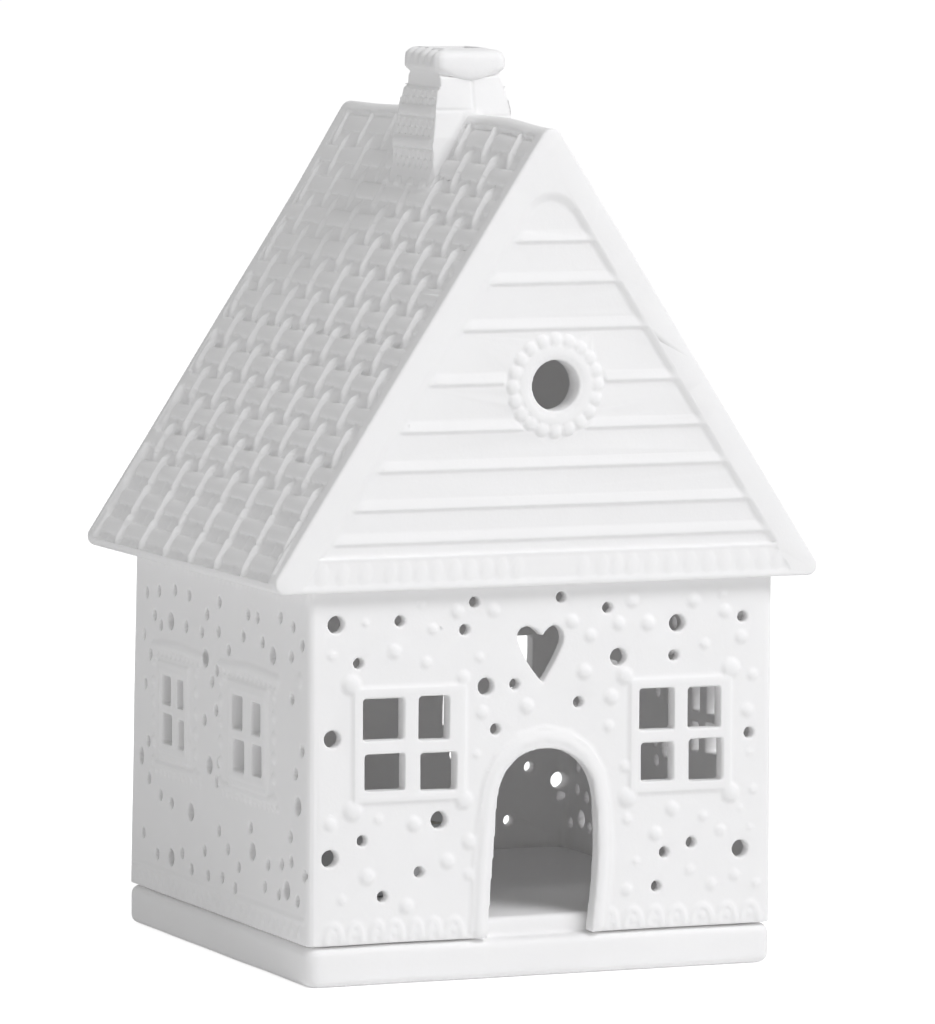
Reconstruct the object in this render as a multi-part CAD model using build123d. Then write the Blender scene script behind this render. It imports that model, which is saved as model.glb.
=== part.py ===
"""A porcelain tealight house: a gabled house with a chimney that lifts off a square plate.

Sizes are in millimetres. The origin is at the middle of the plate's underside, the door faces -Y
and +Z is up. The house is three clay castings, luted together: wall box, roof and chimney.
"""
from build123d import *
import os
from math import atan2, cos, degrees, hypot, pi, sin, tan

# Square plate, a little wider than the walls, with a raised floor that they drop over
plate_margin = 0.3
plate_height = 8.2
plate_corner_radius = 3.2
plate_edge_radius = 1.8
floor_rise = 4.0
floor_corner_radius = 5.0
floor_edge_radius = 1.2
floor_clearance = 0.8

# Wall box
wall_side = 104.4
wall_height = 73.0
wall_thickness = 3.0
wall_corner_radius = 1.6
room_corner_radius = 2.0
seat_gap = 0.4

# Openings in the walls and the raised surrounds about them
door_width = 24.2
door_height = 38.8
heart_width = 10.4
heart_height = 11.9
large_vent_radius = 1.85
small_vent_radius = 1.2
surround_rise = 0.6
window_surround_width = 1.9
side_surround_width = 2.4

# Gable roof, standing out beyond the walls at the eaves and at the gables
eave_overhang = 10.4
gable_overhang = 3.2
roof_rise = 96.1
roof_skin = 3.0
soffit_lip = 4.5
eave_radius = 2.1
ridge_radius = 2.5
gable_border_width = 5.6
gable_panel_depth = 1.0
gable_panel_top_radius = 4.0
frieze_height = 7.0
board_lip_height = 2.0
board_lip_rise = 0.8
round_window_radius = 5.3
bead_ring_radius = 9.3
bead_radius = 1.7
bead_setback = 0.15
bead_count = 16

# Basket weave of the roof's slopes, sunk within a border
weave_depth = 0.9
weave_side_border = 3.9
weave_foot_border = 4.4
weave_head_border = 4.4
stake_count = 15
stake_width = 2.9
stake_rise = 0.5
weft_count = 15
weft_drop = 0.1
level_weft_count = 3

# Chimney
chimney_offset = 3.2
stack_foot_width = 19.4
stack_foot_depth = 22.4
stack_shoulder_width = 17.4
stack_shoulder_depth = 22.0
stack_shoulder_drop = 6.4
stack_head_width = 15.6
stack_head_depth = 17.4
stack_height = 4.7
neck_height = 2.4
neck_inset = 0.8
cap_width = 15.8
cap_depth = 18.4
cap_height = 5.6
cap_edge_radius = 2.2
flue_width = 9.0
flue_depth = 11.0
course_rise = 0.4
course_height = 2.8
course_pitch = 7.7
chimney_seat_margin = 1.2

# Tealight, standing on the raised floor
tealight_x = -13.0
tealight_y = 4.0
tealight_gap = 0.2
cup_radius = 19.0
cup_height = 15.0
cup_foil = 0.3
cup_lip = 0.6
wax_height = 11.5
sustainer_radius = 6.0
sustainer_foil = 0.3
sustainer_neck_radius = 1.5
sustainer_neck_height = 3.0
wick_radius = 0.8
wick_tip = 4.5

overrun = 2.0

# Heights and sizes that follow from the ones above
plate_side = wall_side + 2 * plate_margin
roof_width = wall_side + 2 * eave_overhang
roof_depth = wall_side + 2 * gable_overhang
gable_thickness = gable_overhang + wall_thickness
floor_top = plate_height + floor_rise
wall_bottom = plate_height + seat_gap
wall_top = wall_bottom + wall_height
room_side = wall_side - 2 * wall_thickness
floor_side = room_side - 2 * floor_clearance
roof_base = wall_top
roof_apex = roof_base + roof_rise
roof_pitch = atan2(roof_rise, roof_width / 2)
slope_length = hypot(roof_rise, roof_width / 2)
stack_top = roof_apex + stack_height
cap_bottom = stack_top + neck_height
cap_top = cap_bottom + cap_height
cup_bottom = floor_top + tealight_gap
wax_bottom = cup_bottom + cup_foil
wax_top = wax_bottom + wax_height

# Places on a wall as seen from outside: across it from its middle, as a share of the wall's
# length, and up it from its foot, as a share of its height.
# Panes are left, right, bottom, top.
front_pane_shares = (
    (-0.387, -0.300, 0.575, 0.693), (-0.269, -0.203, 0.571, 0.696),
    (-0.383, -0.297, 0.432, 0.537), (-0.263, -0.187, 0.427, 0.534),
    (0.206, 0.283, 0.571, 0.690), (0.313, 0.384, 0.571, 0.688),
    (0.211, 0.281, 0.423, 0.534), (0.315, 0.388, 0.418, 0.540),
)
side_pane_shares = (
    (-0.295, -0.244, 0.563, 0.648), (-0.211, -0.174, 0.563, 0.647),
    (-0.294, -0.238, 0.449, 0.536), (-0.206, -0.171, 0.445, 0.529),
    (0.098, 0.156, 0.556, 0.653), (0.202, 0.254, 0.556, 0.647),
    (0.103, 0.166, 0.436, 0.525), (0.207, 0.262, 0.438, 0.527),
)
front_large_vent_shares = (
    (-0.442, 0.907), (-0.449, 0.584), (-0.123, 0.715), (-0.222, 0.342), (-0.454, 0.247),
    (0.290, 0.873), (0.162, 0.783), (0.432, 0.216),
)
front_small_vent_shares = (
    (-0.307, 0.910), (-0.148, 0.955), (-0.169, 0.878), (-0.394, 0.795), (-0.061, 0.718),
    (-0.102, 0.592), (-0.386, 0.293), (-0.264, 0.197), (-0.342, 0.132), (0.038, 0.960),
    (0.138, 0.925), (0.433, 0.884), (0.283, 0.781), (0.077, 0.659), (0.449, 0.550),
    (0.265, 0.218), (0.324, 0.242), (0.248, 0.121),
)
side_large_vent_shares = (
    (-0.260, 0.810), (-0.064, 0.732), (0.307, 0.796), (-0.041, 0.425), (-0.437, 0.388),
    (0.442, 0.389), (-0.145, 0.270), (0.199, 0.218), (-0.257, 0.118), (0.385, 0.141),
)
side_small_vent_shares = (
    (-0.398, 0.877), (-0.327, 0.890), (-0.236, 0.905), (-0.156, 0.901), (0.014, 0.905),
    (-0.054, 0.860), (0.171, 0.892), (0.223, 0.890), (0.348, 0.910), (0.415, 0.893),
    (0.464, 0.848), (-0.352, 0.816), (-0.316, 0.792), (-0.173, 0.807), (-0.083, 0.805),
    (0.009, 0.819), (0.144, 0.826), (0.251, 0.825), (0.408, 0.808), (0.064, 0.774),
    (-0.418, 0.751), (-0.377, 0.697), (-0.001, 0.705), (-0.027, 0.670), (0.412, 0.688),
    (-0.408, 0.607), (-0.004, 0.590), (-0.069, 0.553), (0.464, 0.549), (0.430, 0.479),
    (-0.389, 0.438), (0.009, 0.441), (0.002, 0.384), (-0.384, 0.329), (-0.317, 0.290),
    (-0.253, 0.278), (0.189, 0.285), (0.404, 0.296), (0.015, 0.244), (0.065, 0.199),
    (0.284, 0.196), (0.357, 0.210), (0.408, 0.226), (0.479, 0.200), (-0.418, 0.162),
    (-0.067, 0.171), (0.125, 0.159), (-0.336, 0.114), (-0.194, 0.141), (-0.141, 0.104),
    (-0.046, 0.103), (0.033, 0.111), (0.106, 0.095), (0.267, 0.130), (0.342, 0.122),
    (0.443, 0.121),
)

# The heart's middle across the wall and its tip up the wall
heart_place_share = (-0.006, 0.718)
# The door's outline from its left foot over the arch to its right foot, across from the door's
# middle as a share of its width, and up as a share of its height
door_outline_shares = (
    (-0.512, 0.0), (-0.483, 0.294), (-0.442, 0.63), (-0.405, 0.81), (-0.273, 0.941), (0.008, 1.0),
    (0.314, 0.941), (0.45, 0.835), (0.508, 0.63), (0.504, 0.31), (0.455, 0.0),
)
# The outer outline of the door's raised surround, in the same way
surround_outline_shares = (
    (-0.62, 0.0), (-0.615, 0.15), (-0.585, 0.55), (-0.535, 0.86), (-0.34, 1.03), (0.01, 1.09),
    (0.38, 1.025), (0.555, 0.85), (0.58, 0.55), (0.565, 0.3), (0.535, 0.0),
)
# The heart's outline from the tip up its right side to the dip, and down its left side to the tip
heart_right_shares = (
    (0.06, 0.0), (0.25, 0.27), (0.42, 0.55), (0.5, 0.78), (0.44, 0.93), (0.3, 1.0), (0.15, 0.94),
    (0.04, 0.81),
)
heart_left_shares = (
    (0.04, 0.81), (-0.09, 0.93), (-0.3, 1.0), (-0.45, 0.95), (-0.5, 0.86), (-0.44, 0.65),
    (-0.3, 0.4), (-0.13, 0.19), (0.06, 0.0),
)

# Lower edges of the gable's boards, and its round window, up from the eaves as shares of the rise
board_height_shares = (0.100, 0.171, 0.252, 0.335, 0.435, 0.549, 0.647, 0.736)
round_window_height_share = 0.428
# How far the round window's middle stands to the right of the gable's, as a share of its width
round_window_side_share = 0.01

# Where the weave's stakes stand: a height up the slope as a share of its length, then the first
# stake's place, the step to the next and how much the step grows, as shares of the roof's depth
stake_fan_shares = (
    (0.03, -0.465, 0.0620, 0.00033),
    (0.24, -0.469, 0.0597, 0.00033),
    (0.90, -0.449, 0.0614, 0.0),
)
# Heights of the lowest weft and of the step to the next, as shares of the slope's length, and the
# height of a weft as a share of that step
first_weft_share = 0.0575
weft_pitch_share = 0.0628
weft_height_share = 0.51

on_base = (Align.CENTER, Align.CENTER, Align.MIN)


def column(width, depth, bottom, top):
    """An upright block about the Z axis between two heights."""
    return Pos(0, 0, bottom) * Box(width, depth, top - bottom, align=on_base)


def tube(radius, bottom, top):
    """An upright round bar about the Z axis between two heights."""
    return Pos(0, 0, bottom) * Cylinder(radius, top - bottom, align=on_base)


def upright(outline, near, far):
    """A flat outline in X and Z, made solid from y = near to y = far."""
    return extrude(Plane.XZ.offset(-far) * outline, amount=far - near)


def room(bottom, top, inset=0.0):
    """The clear space inside the walls between two heights, drawn in all round by an inset."""
    block = column(room_side - 2 * inset, room_side - 2 * inset, bottom, top)
    return fillet(block.edges().filter_by(Axis.Z), room_corner_radius)


def base_plate():
    """Round-edged square plate with the raised floor on top."""
    slab = column(plate_side, plate_side, 0, plate_height)
    slab = fillet(slab.edges().filter_by(Axis.Z), plate_corner_radius)
    rims = slab.faces().sort_by(Axis.Z)[-1].edges() + slab.faces().sort_by(Axis.Z)[0].edges()
    slab = fillet(rims, plate_edge_radius)
    floor = column(floor_side, floor_side, 0, floor_top)
    floor = fillet(floor.edges().filter_by(Axis.Z), floor_corner_radius)
    floor = fillet(floor.faces().sort_by(Axis.Z)[-1].edges(), floor_edge_radius)
    footing = column(plate_side, plate_side, 0, plate_height / 2)
    return slab + (floor - footing)


def wall_x(share):
    """Distance across a wall from its middle."""
    return share * wall_side


def wall_z(share):
    """Height on a wall."""
    return wall_bottom + share * wall_height


def pane(left, right, bottom, top):
    """A block that cuts one pane through the front wall."""
    width = wall_x(right) - wall_x(left)
    height = wall_z(top) - wall_z(bottom)
    centre = Pos((wall_x(left) + wall_x(right)) / 2, -wall_side / 2, (wall_z(bottom) + wall_z(top)) / 2)
    return centre * Box(width, 2 * (wall_thickness + overrun), height)


def vent(x_share, z_share, radius):
    """A round bar that cuts one vent through the front wall."""
    bar = Rot(90, 0, 0) * Cylinder(radius, 2 * (wall_thickness + overrun))
    return Pos(wall_x(x_share), -wall_side / 2, wall_z(z_share)) * bar


def arch_face(shares):
    """A door-shaped outline in X and Z that stands on the foot of the wall."""
    points = [(x * door_width, wall_bottom + z * door_height) for x, z in shares]
    return make_face([Spline(*points), Line(points[-1], points[0])])


def heart_face():
    """The heart's outline in X and Z."""
    middle = wall_x(heart_place_share[0])
    tip = wall_z(heart_place_share[1])
    halves = []
    for shares in (heart_right_shares, heart_left_shares):
        halves.append(Spline(*[(middle + x * heart_width, tip + z * heart_height) for x, z in shares]))
    return make_face(halves)


def window_surround(pane_shares, width):
    """A raised plate about the panes of one window on the front wall."""
    left = wall_x(min(p[0] for p in pane_shares)) - width
    right = wall_x(max(p[1] for p in pane_shares)) + width
    bottom = wall_z(min(p[2] for p in pane_shares)) - width
    top = wall_z(max(p[3] for p in pane_shares)) + width
    centre = Pos((left + right) / 2, -wall_side / 2, (bottom + top) / 2)
    return centre * Box(right - left, 2 * surround_rise, top - bottom)


def surrounds(pane_shares, width):
    """The raised plates of both windows of a wall, each window having four panes."""
    return [window_surround(pane_shares[:4], width), window_surround(pane_shares[4:], width)]


def wall_cuts(pane_shares, large_shares, small_shares):
    """What is cut from one wall, as it lies on the front wall."""
    cuts = [pane(*shares) for shares in pane_shares]
    cuts += [vent(x, z, large_vent_radius) for x, z in large_shares]
    cuts += [vent(x, z, small_vent_radius) for x, z in small_shares]
    return cuts


def house_walls():
    """The wall box with its door, heart, windows and vents."""
    shell = column(wall_side, wall_side, wall_bottom, wall_top)
    shell = fillet(shell.edges().filter_by(Axis.Z), wall_corner_radius)
    shell = shell - room(wall_bottom - overrun, wall_top + overrun)

    front = -wall_side / 2
    raised = [upright(arch_face(surround_outline_shares), front - surround_rise, front + surround_rise)]
    for turn in (0, 180):
        raised += [Rot(0, 0, turn) * plate for plate in surrounds(front_pane_shares, window_surround_width)]
    for turn in (-90, 90):
        raised += [Rot(0, 0, turn) * plate for plate in surrounds(side_pane_shares, side_surround_width)]
    shell = shell + raised

    inside = front + wall_thickness + overrun
    outside = front - surround_rise - overrun
    shell = shell - upright(arch_face(door_outline_shares), outside, inside)
    shell = shell - upright(heart_face(), outside, inside)
    front_cuts = wall_cuts(front_pane_shares, front_large_vent_shares, front_small_vent_shares)
    side_cuts = wall_cuts(side_pane_shares, side_large_vent_shares, side_small_vent_shares)
    for turn, cuts in ((0, front_cuts), (180, front_cuts), (-90, side_cuts), (90, side_cuts)):
        shell = shell - [Rot(0, 0, turn) * cut for cut in cuts]
    return shell


def gable_face(inset, bottom):
    """The gable's triangle in X and Z, drawn in from the slopes and standing at a height."""
    top = roof_apex - inset / cos(roof_pitch)
    half = (top - bottom) / tan(roof_pitch)
    return make_face(Polyline((-half, bottom), (half, bottom), (0, top), close=True))


def roof_outside():
    """The roof as a solid prism with round eaves and ridge."""
    face = gable_face(0, roof_base)
    corners = face.vertices().sort_by(Axis.Y)
    face = fillet(corners[:2], eave_radius)
    face = fillet(face.vertices().sort_by(Axis.Y)[-1], ridge_radius)
    return upright(face, -roof_depth / 2, roof_depth / 2)


def flue():
    """The smoke way down through the chimney and the roof's ridge."""
    bottom = roof_apex - roof_skin / cos(roof_pitch) - flue_width * tan(roof_pitch)
    return Pos(0, -chimney_offset, 0) * column(flue_width, flue_depth, bottom, cap_top + overrun)


def gable_relief():
    """The front gable's sunk panel as a cut, and the boards and bead ring that stand in it."""
    front = -roof_depth / 2
    sunk = front + gable_panel_depth
    panel_face = gable_face(gable_border_width, roof_base + frieze_height)
    panel_face = fillet(panel_face.vertices().sort_by(Axis.Y)[-1], gable_panel_top_radius)
    cut = upright(panel_face, front - overrun, sunk)

    middle_x = round_window_side_share * roof_width
    middle_z = roof_base + round_window_height_share * roof_rise
    boss_radius = bead_ring_radius + bead_radius
    lips = []
    for share in board_height_shares:
        strip = Pos(0, roof_base + share * roof_rise + board_lip_height / 2) * Rectangle(
            roof_width, board_lip_height)
        lip_face = panel_face & strip
        lip_face -= Pos(middle_x, middle_z) * Circle(boss_radius)
        lips.append(upright(lip_face, sunk - board_lip_rise, sunk + board_lip_rise))
    boss_face = Pos(middle_x, middle_z) * Circle(boss_radius)
    boss = upright(boss_face, sunk - gable_panel_depth / 2, sunk + gable_panel_depth)
    beads = []
    for i in range(bead_count):
        angle = 2 * pi * i / bead_count
        across = middle_x + bead_ring_radius * cos(angle)
        up = middle_z + bead_ring_radius * sin(angle)
        beads.append(Pos(across, front + bead_setback + bead_radius, up) * Sphere(bead_radius))
    window = Pos(middle_x, front, middle_z) * Rot(90, 0, 0) * Cylinder(
        round_window_radius, 2 * (gable_thickness + overrun))
    return cut, lips + [boss] + beads, window


def stake_place(stake, up):
    """How far a stake stands from the slope's middle towards the front, at a height up the slope."""
    heights = [height * slope_length for height, *_ in stake_fan_shares]
    places = []
    for _, first, step, growth in stake_fan_shares:
        places.append((first + step * stake + growth * stake**2) * roof_depth)
    low = 0 if up < heights[1] else 1
    share = (up - heights[low]) / (heights[low + 1] - heights[low])
    return places[low] + share * (places[low + 1] - places[low])


def weft_height(row):
    """How far up the slope a weft runs."""
    return (first_weft_share + row * weft_pitch_share) * slope_length


def is_under(stake, row):
    """Whether a stake passes under a weft: the lowest wefts pass over the same stakes."""
    return (stake + max(row, level_weft_count - 1) - level_weft_count) % 2 == 0


def weave_stakes():
    """The stretches of the stakes that lie over the wefts, on a flat slope."""
    reach = (1 - weft_height_share / 2) * weft_pitch_share * slope_length
    stretches = []
    for row in range(level_weft_count - 1, weft_count):
        low = weave_foot_border if row < level_weft_count else weft_height(row) - reach
        high = min(weft_height(row) + reach, slope_length - weave_head_border)
        for stake in range(stake_count):
            if is_under(stake, row):
                continue
            foot = stake_place(stake, low)
            head = stake_place(stake, high)
            lean = degrees(atan2(foot - head, high - low))
            bar = Box(stake_width, hypot(head - foot, high - low), weave_depth + 2 * stake_rise)
            middle = Pos((foot + head) / 2, (low + high) / 2, -weave_depth / 2)
            stretches.append(middle * Rot(0, 0, lean) * bar)
    return stretches


def weave_wefts():
    """The stretches of the wefts that lie over the stakes, on a flat slope."""
    height = weft_height_share * weft_pitch_share * slope_length
    edge = roof_depth / 2 - weave_side_border + stake_rise
    stretches = []
    for row in range(weft_count):
        up = weft_height(row)
        for stake in range(stake_count):
            if not is_under(stake, row):
                continue
            left = max(stake_place(stake - 1, up) + stake_width / 2 - stake_rise / 2, -edge)
            right = min(stake_place(stake + 1, up) - stake_width / 2 + stake_rise / 2, edge)
            bar = Box(right - left, height, weave_depth)
            stretches.append(Pos((left + right) / 2, up, -weft_drop - weave_depth / 2) * bar)
    return stretches


def weave():
    """The left slope's weave: the ground that is sunk between its strands, and the strands."""
    slope = Plane(origin=(-roof_width / 2, 0, roof_base), x_dir=(0, -1, 0),
                  z_dir=(-sin(roof_pitch), 0, cos(roof_pitch)))
    length = slope_length - weave_foot_border - weave_head_border
    ground = Box(roof_depth - 2 * weave_side_border, length, weave_depth + overrun)
    ground = slope * Pos(0, weave_foot_border + length / 2, (overrun - weave_depth) / 2) * ground
    return ground, [slope * strand for strand in weave_stakes() + weave_wefts()]


def chimney_seat(margin):
    """The column that the chimney's foot takes up, grown all round."""
    seat = column(stack_foot_width + 2 * margin, stack_foot_depth + 2 * margin, roof_base, cap_top)
    return Pos(0, -chimney_offset, 0) * seat


def roof():
    """The hollow gable roof, open below to the room and above to the flue."""
    hollow = upright(gable_face(roof_skin, roof_base + roof_skin), -room_side / 2, room_side / 2)
    way_in = room(roof_base - overrun, roof_base + roof_skin + overrun, soffit_lip)
    cut, raised, window = gable_relief()
    shell = roof_outside() - [cut, Rot(0, 0, 180) * cut]
    shell = shell + raised + [Rot(0, 0, 180) * piece for piece in raised]
    shell = shell - [hollow, way_in, window, Rot(0, 0, 180) * window]
    ground, strands = weave()
    grounds = [Rot(0, 0, turn) * ground - chimney_seat(chimney_seat_margin) for turn in (0, 180)]
    shell = shell - grounds
    shell = shell + [Rot(0, 0, turn) * strand for turn in (0, 180) for strand in strands]
    return shell - [chimney_seat(course_rise) - roof_outside(), flue()]


def stack(grow):
    """The tapered stack about the chimney's own axis, grown all round."""
    foot_half = stack_foot_width / 2 + course_rise
    levels = (
        (roof_apex - (foot_half + overrun) * tan(roof_pitch), stack_foot_width, stack_foot_depth),
        (stack_top - stack_shoulder_drop, stack_shoulder_width, stack_shoulder_depth),
        (stack_top, stack_head_width, stack_head_depth),
    )
    outlines = [Pos(0, 0, z) * Rectangle(width + 2 * grow, depth + 2 * grow) for z, width, depth in levels]
    return loft(outlines, ruled=True)


def chimney():
    """The chimney with its brick courses, neck and rounded cap, cut to sit on the ridge."""
    body = stack(0)
    for i in range(2):
        top = stack_top - course_height - i * course_pitch
        course = stack(course_rise) & column(roof_width, roof_depth, top - course_height, top)
        body = body + course
    neck_width = stack_head_width - 2 * neck_inset
    neck_depth = stack_head_depth - 2 * neck_inset
    neck = column(neck_width, neck_depth, stack_top, cap_bottom)
    cap = column(cap_width, cap_depth, cap_bottom, cap_top)
    cap = fillet(cap.edges().filter_by(Axis.Z), cap_edge_radius)
    cap = fillet(cap.faces().sort_by(Axis.Z)[-1].edges() + cap.faces().sort_by(Axis.Z)[0].edges(),
                 cap_edge_radius * 0.8)
    body = Pos(0, -chimney_offset, 0) * (body + neck + cap)
    return body - [roof_outside(), flue()]


def at_tealight(shape):
    """Moves a piece from the Z axis to the tealight's place."""
    return Pos(tealight_x, tealight_y, 0) * shape


def tealight_cup():
    """The thin cup with its outward lip."""
    rim = cup_bottom + cup_height
    cup = tube(cup_radius, cup_bottom, rim) - tube(cup_radius - cup_foil, wax_bottom, rim + overrun)
    bore = tube(cup_radius - cup_foil, cup_bottom, rim + overrun)
    lip = tube(cup_radius + cup_lip, rim - cup_foil, rim) - bore
    return at_tealight(cup + lip)


def sustainer_solid():
    """The sustainer without its bore."""
    neck_top = wax_bottom + sustainer_neck_height
    return tube(sustainer_radius, wax_bottom, wax_bottom + sustainer_foil) + tube(
        sustainer_neck_radius, wax_bottom, neck_top)


def wick_solid():
    """The wick from the sustainer's disc to its free tip."""
    return tube(wick_radius, wax_bottom + sustainer_foil, wax_top + wick_tip)


def tealight_wax():
    """The wax, poured round the sustainer and the wick."""
    wax = tube(cup_radius - cup_foil, wax_bottom, wax_top)
    return at_tealight(wax - [sustainer_solid(), wick_solid()])


def wick_sustainer():
    """The disc with the neck that holds the wick."""
    return at_tealight(sustainer_solid() - wick_solid())


def wick():
    """The cotton wick."""
    return at_tealight(wick_solid())


pieces = {
    "base_plate": base_plate,
    "house_walls": house_walls,
    "roof": roof,
    "chimney": chimney,
    "tealight_cup": tealight_cup,
    "tealight_wax": tealight_wax,
    "wick_sustainer": wick_sustainer,
    "wick": wick,
}

if __name__ == "__main__":
    os.makedirs("parts", exist_ok=True)
    for name, make in pieces.items():
        export_step(make(), f"parts/{name}.step")
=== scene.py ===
"""Finishes the porcelain tealight house: soft clay relief, tealight, finishes, light and camera.

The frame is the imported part's own, in metres. A place on a wall, a gable or a roof slope is
given in millimetres as seen from outside: across, and up. Depths run into the clay.
"""

from math import atan2, cos, hypot, pi, radians, sin

import bmesh
import bpy
from mathutils import Matrix, Vector, noise


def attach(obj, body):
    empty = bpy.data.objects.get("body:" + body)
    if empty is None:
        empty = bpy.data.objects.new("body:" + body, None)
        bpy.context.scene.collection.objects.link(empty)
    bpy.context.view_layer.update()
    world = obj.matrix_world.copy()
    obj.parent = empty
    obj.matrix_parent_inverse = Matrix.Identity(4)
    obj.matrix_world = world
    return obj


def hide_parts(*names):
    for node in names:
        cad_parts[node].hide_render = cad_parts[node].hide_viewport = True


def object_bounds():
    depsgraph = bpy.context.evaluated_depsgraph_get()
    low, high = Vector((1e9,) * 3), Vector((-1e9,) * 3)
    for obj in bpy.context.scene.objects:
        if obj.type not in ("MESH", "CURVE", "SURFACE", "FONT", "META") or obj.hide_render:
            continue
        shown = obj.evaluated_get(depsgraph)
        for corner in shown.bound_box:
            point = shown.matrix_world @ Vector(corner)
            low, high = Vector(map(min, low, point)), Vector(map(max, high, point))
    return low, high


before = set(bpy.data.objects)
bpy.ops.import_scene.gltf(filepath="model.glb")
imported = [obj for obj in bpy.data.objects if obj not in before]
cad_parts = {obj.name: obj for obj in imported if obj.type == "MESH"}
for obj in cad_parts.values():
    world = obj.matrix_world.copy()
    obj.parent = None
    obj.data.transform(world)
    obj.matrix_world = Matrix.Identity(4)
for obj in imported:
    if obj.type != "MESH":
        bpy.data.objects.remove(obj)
cad_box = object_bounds()

bl_info = {
    "name": "Porcelain tealight house",
    "version": (1, 0, 0),
    "blender": (4, 5, 0),
    "location": "3D View > Sidebar > Tealight House",
    "description": "Models and finishes a pierced porcelain tealight house",
    "category": "Object",
}

MM = 0.001
# Points of a mesh that lie this near to each other, in metres, are one
weld = 0.000002

# The castings' sizes in millimetres, as they are in the solids
wall_half = 52.2
wall_foot = 8.6
wall_head = 81.6
roof_half_width = 62.6
roof_half_depth = 55.4
roof_foot = 81.6
roof_rise = 96.1
slope_length = hypot(roof_half_width, roof_rise)
slope_angle = atan2(roof_rise, roof_half_width)
ridge_radius = 2.5
ridge_centre = roof_foot + roof_rise - ridge_radius / cos(slope_angle)
chimney_centre = (0.0, -3.2)
cap_low = 184.8
flue_half = (4.5, 5.5)
tealight_centre = (-13.0, 4.0)
tealight_foot = 12.4
wax_foot = tealight_foot + 0.32
# The foil cup's flutes: from which radius out, how many, and the share of the radius they press in
cup_wall = 18.3
cup_flutes = 40
flute_share = 0.004

# The chimney's sides: half width at the neck, the shoulder's step, then from where down, how fast and
# how far they widen; a bare corner keeps clear of rolls and bricks
neck_half = 6.9
shoulder = 0.85
side_batter = (181.6, 0.165, 1.75)
corner_fade = (0.3, 1.2)
# Its ends: half depth at the cap, how fast it widens and how far, and the depth of the large joints
end_batter = (8.73, 0.2, 11.3)
joint_depth = 0.22
# It flares where it meets the roof: how far, and over which height
foot_flare = (1.1, 3.5)
# The chimney's rolls and brick bands, lower and upper edge, and the step between bricks and flutes
course_rolls = ((176.0, 178.4), (169.3, 171.7))
brick_bands = ((178.4, 181.6), (172.0, 175.4), (165.4, 169.0))
brick_pitch = 3.2
flute_pitch = 3.6
roll_bulge = 0.5
roll_groove = 0.35
brick_joint = 0.85
brick_bed = 0.2

# How each casting is fired: smoothing steps, triangles, and the share of the clay's grain
firing = {
    "base_plate": (3, 60000, 1.0),
    "house_walls": (2, 190000, 0.88),
    "roof": (1, 190000, 0.9),
    "chimney": (2, 80000, 0.55),
}
# Swells of the clay's unevenness in a metre, and the seed of their noise
swells = 45.0
noise_seed = 1

# Panes of the windows, four to a window: left, right, bottom, top
front_windows = (
    ((-40.4, -31.3, 50.6, 59.2), (-28.1, -21.2, 50.3, 59.4),
     (-40.0, -31.0, 40.1, 47.8), (-27.5, -19.5, 39.8, 47.6)),
    ((21.5, 29.5, 50.3, 59.0), (32.7, 40.1, 50.3, 58.8),
     (22.0, 29.3, 39.5, 47.6), (32.9, 40.5, 39.1, 48.0)),
)
side_windows = (
    ((-30.8, -25.5, 49.7, 55.9), (-22.0, -18.2, 49.7, 55.8),
     (-30.7, -24.8, 41.4, 47.7), (-21.5, -17.9, 41.1, 47.2)),
    ((10.2, 16.3, 49.2, 56.3), (21.1, 26.5, 49.2, 55.8),
     (10.8, 17.3, 40.4, 46.9), (21.6, 27.4, 40.6, 47.1)),
)

# Raised bumps of the front wall: across, up, radius
front_bumps = (
    (-39.8, 75.0, 0.8), (-47.1, 68.5, 1.0), (-33.3, 68.8, 1.5), (-24.9, 73.1, 1.1), (-19.4, 76.6, 1.5),
    (-11.3, 76.5, 1.4), (-27.5, 78.4, 0.8), (-26.3, 66.3, 1.2), (-14.4, 66.9, 1.0), (-13.8, 55.5, 1.4),
    (-3.7, 56.3, 1.6), (-15.0, 46.9, 0.9), (-47.5, 33.8, 1.4), (-36.8, 34.3, 1.0), (-28.9, 33.0, 1.6),
    (-16.5, 28.8, 1.6), (-21.4, 25.0, 1.6), (-39.2, 22.5, 1.7), (-16.4, 22.0, 1.3), (-44.8, 18.0, 1.0),
    (-30.4, 16.0, 1.6), (6.3, 73.6, 1.4), (19.9, 77.5, 1.5), (33.9, 77.0, 1.5), (40.5, 78.2, 1.0),
    (16.9, 72.8, 1.4), (23.5, 72.6, 1.6), (41.0, 74.5, 1.4), (10.5, 70.5, 1.3), (36.4, 67.8, 1.1),
    (44.8, 68.9, 1.4), (9.2, 63.0, 1.6), (47.5, 60.9, 1.2), (15.3, 57.5, 1.6), (46.3, 53.5, 1.4),
    (14.8, 51.5, 1.2), (18.5, 42.8, 1.2), (47.0, 44.5, 0.7), (47.8, 36.8, 1.0), (29.3, 33.5, 1.5),
    (19.1, 31.8, 1.1), (36.3, 31.7, 1.1), (44.9, 32.9, 0.6), (25.5, 28.5, 1.5), (40.4, 28.5, 1.2),
    (47.2, 28.8, 0.7), (21.1, 23.0, 0.8), (33.5, 20.5, 1.1), (43.7, 19.0, 1.2), (19.0, 17.1, 1.3),
    (38.4, 17.3, 1.3), (48.8, 17.0, 1.0),
)
window_corner_bumps = (
    (-42.8, 62.3, 2.1), (-18.0, 62.8, 1.5), (-42.5, 36.3, 2.1), (-17.8, 37.6, 2.0),
    (18.3, 61.8, 1.8), (42.4, 62.5, 2.1), (19.1, 36.3, 2.1), (42.6, 36.3, 2.1),
)
# How far a front window's frame stands from its panes, and how flat its roll lies
front_frame = (1.1, 0.6)
# Glazing bars lie flatter than the frame by this share
bar_share = 0.8

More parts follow.
